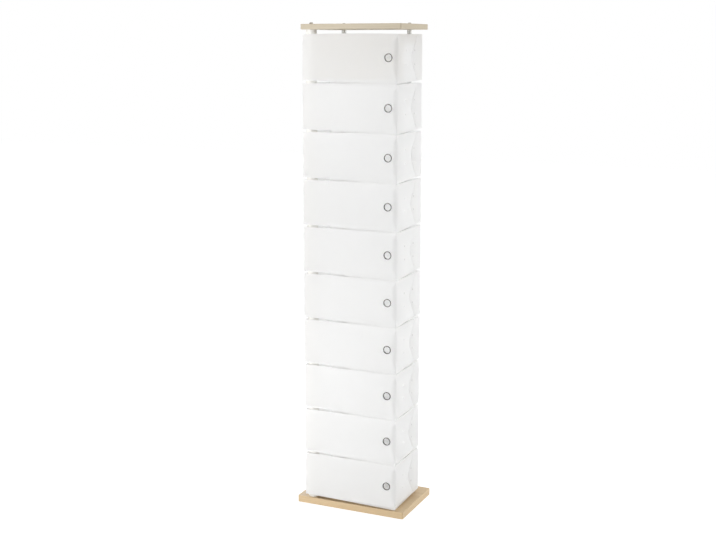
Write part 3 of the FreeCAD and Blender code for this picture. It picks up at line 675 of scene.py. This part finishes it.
def model_band(sheet):
    """The band of the lowest drawer: one sheet, folded, trimmed, hemmed and drawn in."""
    band = fold_band(sheet)
    divide_panels(sheet)
    slant_skirt(sheet)
    trim_tongue(band, sheet)
    bpy.ops.mesh.select_all(action="SELECT")
    bpy.ops.mesh.remove_doubles(threshold=MM / 100)
    bpy.ops.mesh.normals_make_consistent(inside=False)
    bpy.ops.object.mode_set(mode="OBJECT")
    front_face = min(band.data.polygons, key=lambda face: face.center.y)
    if front_face.normal.y > 0:
        raise RuntimeError("the band's faces point inwards")
    mark_hem(band, sheet)
    draw_in(band, sheet)
    # Two layers thick at the hem, and half of that elsewhere
    use_modifier(band, "SOLIDIFY", thickness=sheet.thickness * 2, offset=-1.0, vertex_group="hem",
                 thickness_vertex_group=0.5, use_even_offset=True)
    soften(band, 0.3 * MM)
    return band


def ripple_sheet(piece, number, sheet):
    """Makes each drawer's sheet uneven in its own way, outwards only, because the tray stands inside it."""
    wave = 90 * MM
    own_part = Vector((7.3, 3.1, 5.7)) * number
    for corner in piece.data.vertices:
        spot = corner.co / wave + own_part
        lift = (1 + noise.noise(spot)) / 2 * sheet.ripple
        corner.co.x += lift * corner.co.x / TONGUE_FACE
        corner.co.y += lift * corner.co.y / BACK


class TOWER_OT_bands(bpy.types.Operator):
    """Models the folded band of every drawer"""
    bl_idname = "tower.bands"
    bl_label = "Drawer bands"

    def execute(self, context):
        sheet = context.scene.tower_sheet
        metals = context.scene.tower_metal
        band = model_band(sheet)
        ring_clearance = 0.1 * MM
        hole = metals.ring_bore / 2 + metals.ring_wall + ring_clearance
        depth = 10 * MM
        cutter = turned("finger_cutter", [(0.0, -depth), (hole, -depth), (hole, depth), (0.0, depth)], 48)
        stand(cutter, (RING_X, FRONT, MIDDLE), (0.0, -1.0, 0.0))
        cut_away(band, cutter)
        smooth(band)
        material = frosted_polypropylene("frosted_polypropylene", sheet.tint, sheet.passes)
        repeat_up(band, "band", material,
                  lambda piece, number: ripple_sheet(piece, number, sheet))
        return {"FINISHED"}


class TOWER_OT_rings(bpy.types.Operator):
    """Turns the rolled metal finger ring of every drawer"""
    bl_idname = "tower.rings"
    bl_label = "Finger rings"

    def execute(self, context):
        sheet = context.scene.tower_sheet
        metals = context.scene.tower_metal
        bore = metals.ring_bore / 2
        barrel = bore + metals.ring_wall
        edge = metals.ring_edge / 2
        rise = FRONT - RING_LOW.y
        back = RING_HIGH.y - FRONT
        crest = (edge + bore) / 2
        back_setback = 1.5 * MM
        back_edge = edge - back_setback
        roll = (back - sheet.thickness) / 2
        foot = 0.2 * rise
        dome = 0.8 * rise
        profile = [(barrel, 0.0)]
        profile += arc((crest, foot), (edge - crest, dome), 0, 180, 16)
        profile += [(bore, -back + roll)]
        profile += arc((bore + roll, -back + roll), (roll, roll), 180, 270, 4)
        profile += arc((back_edge - roll, -back + roll), (roll, roll), 270, 450, 8)
        profile += [(barrel, -sheet.thickness), (barrel, 0.0)]
        ring = turned("ring", profile, 64)
        stand(ring, (RING_X, FRONT, MIDDLE), (0.0, -1.0, 0.0))
        smooth(ring, 60)
        repeat_up(ring, "eyelet", nickel_plate(metals.nickel_tint))
        return {"FINISHED"}


def turned_rivet(metals, grip):
    """One rivet along Z, its head's bearing face at zero and its tail below the grip."""
    head = metals.rivet_head / 2
    shank = metals.rivet_shank / 2
    rise = metals.rivet_rise
    rim = 0.25 * rise
    dimple = rise * 0.82
    profile = [(0.0, dimple), (shank * 0.55, dimple), (shank * 0.62, rise)]
    profile += [(head * math.cos(math.radians(angle)), rim + (rise - rim) * math.sin(math.radians(angle)))
                for angle in (60, 45, 30, 15, 0)]
    profile += [(head, 0.0), (shank, 0.0), (shank, -grip), (head * 0.9, -grip)]
    profile += arc((head * 0.55, -grip), (head * 0.35, rise), 0, -90, 5)
    profile += [(0.0, -grip - rise)]
    return turned("rivet", profile, 24)


class TOWER_OT_rivets(bpy.types.Operator):
    """Turns the rivets of every drawer"""
    bl_idname = "tower.rivets"
    bl_label = "Rivets"

    def execute(self, context):
        sheet = context.scene.tower_sheet
        metals = context.scene.tower_metal
        right = right_side(sheet)
        flap_face = TRAY_HIGH.x - sheet.thickness
        wing_thick = 3 * MM
        wing_reach = 40 * MM
        wing_rows = 70 * MM
        foot_row = 9 * MM
        wing_face = TRAY_LOW.x + sheet.thickness + wing_thick
        foot_face = FLOOR + sheet.thickness + wing_thick
        near = MID_Y - metals.rivet_columns / 2
        far = MID_Y + metals.rivet_columns / 2
        places = []
        for side in (-1, 1):
            level = MIDDLE + side * metals.rivet_rows / 2
            places.append(((right, near, level), (1.0, 0.0, 0.0), right - flap_face))
            places.append(((TONGUE_FACE, far, level), (1.0, 0.0, 0.0), TONGUE_FACE - flap_face))
            wing_level = MIDDLE + side * wing_rows / 2
            places.append(((LEFT, PIVOT_Y + wing_reach, wing_level), (-1.0, 0.0, 0.0), wing_face - LEFT))
            foot_y = PIVOT_Y + side * foot_row
            places.append(((PIVOT_X + wing_reach, foot_y, FLOOR), (0.0, 0.0, -1.0), foot_face - FLOOR))
        members = [stand(turned_rivet(metals, grip), place, way) for place, way, grip in places]
        rivets = join("rivets", members)
        smooth(rivets, 40)
        repeat_up(rivets, "rivets", plain_aluminium(metals.rivet_tint))
        return {"FINISHED"}


class TOWER_OT_trays(bpy.types.Operator):
    """Gives the drawer trays their sheet"""
    bl_idname = "tower.trays"
    bl_label = "Drawer trays"

    def execute(self, context):
        sheet = context.scene.tower_sheet
        material = frosted_polypropylene("milky_polypropylene", sheet.tint, sheet.tray_passes)
        for drawer in DRAWERS:
            dress_node(drawer + "_tray", material)
        return {"FINISHED"}


class TOWER_OT_sleeves(bpy.types.Operator):
    """Gives the turning sleeves, the washer and the spacer their nylon"""
    bl_idname = "tower.sleeves"
    bl_label = "Sleeves"

    def execute(self, context):
        material = moulded_nylon(context.scene.tower_sheet.sleeve_tint)
        for drawer in DRAWERS:
            dress_node(drawer + "_sleeve", material)
        dress_node("base_washer", material)
        dress_node("top_spacer", material)
        return {"FINISHED"}


class TOWER_OT_posts(bpy.types.Operator):
    """Turns the two rear rods and finishes the column"""
    bl_idname = "tower.posts"
    bl_label = "Column and rods"

    def execute(self, context):
        material = drawn_steel(context.scene.tower_metal.steel_tint)
        for node in ("pivot_column", "column_plugs"):
            dress_node(node, material)
        for node in ("rear_rod_left", "rear_rod_right"):
            low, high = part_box(node)
            radius = (high.x - low.x) / 2
            ease = 1 * MM
            length = high.z - low.z
            profile = [(0.0, 0.0), (radius - ease, 0.0), (radius, ease), (radius, length - ease),
                       (radius - ease, length), (0.0, length)]
            rod = turned(node + "_shape", profile, 48)
            stand(rod, ((low.x + high.x) / 2, (low.y + high.y) / 2, low.z))
            smooth(rod)
            dress(rod, "frame", node, material)
        return {"FINISHED"}


class TOWER_OT_bolts(bpy.types.Operator):
    """Finishes the bolts in the boards"""
    bl_idname = "tower.bolts"
    bl_label = "Bolts"

    def execute(self, context):
        material = zinc_steel(context.scene.tower_metal.bolt_tint)
        dress_node("top_bolts", material)
        dress_node("base_bolts", material)
        return {"FINISHED"}


class TOWER_OT_boards(bpy.types.Operator):
    """Finishes the base board and the top board"""
    bl_idname = "tower.boards"
    bl_label = "Boards"

    def execute(self, context):
        wood = context.scene.tower_wood
        base = lacquered_birch("lacquered_birch", wood.pale, wood.dark, wood.ring_width)
        # The top board is the same birch as the base, drawn in greyer and slightly darker tones
        top = lacquered_birch("greyer_birch", wood.top_pale, wood.top_dark, wood.ring_width)
        dress_node("base_board", base)
        dress_node("top_board", top)
        return {"FINISHED"}


def soft_light(name, place, target, size, power, spread=180):
    """An area lamp that stands at a place and faces a target, unseen by the camera. A spread in degrees
    below 180 narrows its beam, as a honeycomb does."""
    data = bpy.data.lights.new(name, "AREA")
    data.shape = "RECTANGLE"
    data.size, data.size_y = size
    data.energy = power
    data.spread = math.radians(spread)
    lamp = bpy.data.objects.new(name, data)
    lamp.location = place
    lamp.rotation_euler = (Vector(target) - Vector(place)).to_track_quat("-Z", "Y").to_euler()
    lamp.visible_camera = False
    bpy.context.scene.collection.objects.link(lamp)


def seen_rays(tree):
    """1 for the rays that look at the stage, straight on or in metal and glass, and 0 for light, also for
    light that comes through the milky sheets."""
    rays = add(tree, "ShaderNodeLightPath").outputs
    straight = worked_out(tree, "MAXIMUM", rays["Is Camera Ray"], rays["Is Glossy Ray"])
    every = worked_out(tree, "MAXIMUM", straight, rays["Is Transmission Ray"])
    clear = add(tree, "ShaderNodeMath", {0: every, 1: rays["Is Diffuse Ray"]}, operation="SUBTRACT",
                use_clamp=True)
    return clear.outputs["Value"]


def studio_floor(tint):
    """Pale studio floor: its own light lifts it to white where it is seen, and it keeps a faint shadow."""
    material, tree, output = new_material("studio_floor")
    paper = add(tree, "ShaderNodeBsdfDiffuse", {"Color": shade(tint)})
    thin_paper = add(tree, "ShaderNodeBsdfDiffuse", {"Color": (0.45, 0.45, 0.45, 1.0)})
    glow = add(tree, "ShaderNodeEmission", {"Color": WHITE, "Strength": 0.8})
    lifted = add(tree, "ShaderNodeAddShader", {0: thin_paper.outputs["BSDF"], 1: glow.outputs["Emission"]})
    surface = add(tree, "ShaderNodeMixShader", {
        0: seen_rays(tree),
        1: paper.outputs["BSDF"],
        2: lifted.outputs["Shader"],
    })
    tree.links.new(surface.outputs["Shader"], output.inputs["Surface"])
    return material


class TOWER_OT_stage(bpy.types.Operator):
    """Sets up the camera, the pale floor and the soft studio light"""
    bl_idname = "tower.stage"
    bl_label = "Stage"

    def execute(self, context):
        stage = context.scene.tower_stage
        self.place_camera(context.scene, stage)
        self.light_stage(context.scene, stage)
        sink = 0.2 * MM
        floor = start_plane("studio_floor", (0.0, 0.0, CAD_BOX[0].z - sink), (24.0, 24.0, 1.0))
        floor.data.materials.append(studio_floor(stage.floor_tint))
        return {"FINISHED"}

    def place_camera(self, scene, stage):
        """The photograph's viewpoint, with the verticals a little closer together at the foot."""
        data = bpy.data.cameras.new("camera")
        data.sensor_width = 36.0
        data.lens = stage.camera_lens
        camera = bpy.data.objects.new("camera", data)
        camera.location = stage.camera_place
        camera.rotation_euler = (math.pi / 2 - stage.camera_pitch, 0.0, stage.camera_yaw)
        scene.collection.objects.link(camera)
        scene.camera = camera

    def light_stage(self, scene, stage):
        """Two narrow beams on the front from the left, strips behind on both sides, a lamp overhead and
        even light all round."""
        scene.view_settings.view_transform = "Standard"
        world = bpy.data.worlds.new("studio")
        world.use_nodes = True
        scene.world = world
        tree = world.node_tree
        tree.nodes.clear()
        output = add(tree, "ShaderNodeOutputWorld")
        even = add(tree, "ShaderNodeBackground", {"Color": WHITE, "Strength": stage.daylight})
        white = add(tree, "ShaderNodeBackground", {"Color": WHITE, "Strength": 1.0})
        surface = add(tree, "ShaderNodeMixShader", {
            0: seen_rays(tree),
            1: even.outputs["Background"],
            2: white.outputs["Background"],
        })
        tree.links.new(surface.outputs["Shader"], output.inputs["Surface"])
        middle = (CAD_BOX[0] + CAD_BOX[1]) / 2
        beam_size = (0.4, 0.6)
        beam_spread = 46
        for name, height, power in (("left_low", 0.25, 2.85), ("left_high", 1.49, 2.35)):
            soft_light(name, (-1.06, -2.5, height), (-0.2, -0.13, height), beam_size, power, beam_spread)
        soft_light("right_strip", (1.9, 0.95, 0.85), (0.0, 0.0, 0.85), (0.6, 2.6), 30.0)
        soft_light("back_strip", (-1.2, 1.4, 0.8), middle, (0.6, 2.4), 13.0)
        soft_light("overhead", (0.0, -0.6, 3.4), middle, (2.0, 2.0), 15.0)


class TOWER_PT_pieces(bpy.types.Panel):
    """Lists the pieces of the tower and their settings"""
    bl_idname = "TOWER_PT_pieces"
    bl_label = "Shoe drawer tower"
    bl_space_type = "VIEW_3D"
    bl_region_type = "UI"
    bl_category = "Shoe tower"

    def draw(self, context):
        for operator in OPERATORS:
            self.layout.operator(operator.bl_idname)
        for name in SETTINGS:
            group = getattr(context.scene, name)
            box = self.layout.box()
            for field in group.__annotations__:
                box.prop(group, field)


SETTINGS = {
    "tower_sheet": SheetSettings,
    "tower_metal": MetalSettings,
    "tower_wood": WoodSettings,
    "tower_stage": StageSettings,
}
OPERATORS = (
    TOWER_OT_stage,
    TOWER_OT_boards,
    TOWER_OT_posts,
    TOWER_OT_bolts,
    TOWER_OT_bands,
    TOWER_OT_trays,
    TOWER_OT_sleeves,
    TOWER_OT_rings,
    TOWER_OT_rivets,
)


def register():
    """Registers the settings, the operators and the panel."""
    for name, group in SETTINGS.items():
        bpy.utils.register_class(group)
        setattr(bpy.types.Scene, name, PointerProperty(type=group))
    for operator in OPERATORS:
        bpy.utils.register_class(operator)
    bpy.utils.register_class(TOWER_PT_pieces)


def unregister():
    """Takes the panel, the operators and the settings away."""
    bpy.utils.unregister_class(TOWER_PT_pieces)
    for operator in reversed(OPERATORS):
        bpy.utils.unregister_class(operator)
    for name, group in reversed(SETTINGS.items()):
        delattr(bpy.types.Scene, name)
        bpy.utils.unregister_class(group)


def main():
    """Builds every piece in order."""
    register()
    bpy.ops.tower.stage()
    bpy.ops.tower.boards()
    bpy.ops.tower.posts()
    bpy.ops.tower.bolts()
    bpy.ops.tower.bands()
    bpy.ops.tower.trays()
    bpy.ops.tower.sleeves()
    bpy.ops.tower.rings()
    bpy.ops.tower.rivets()


if __name__ == "__main__":
    main()
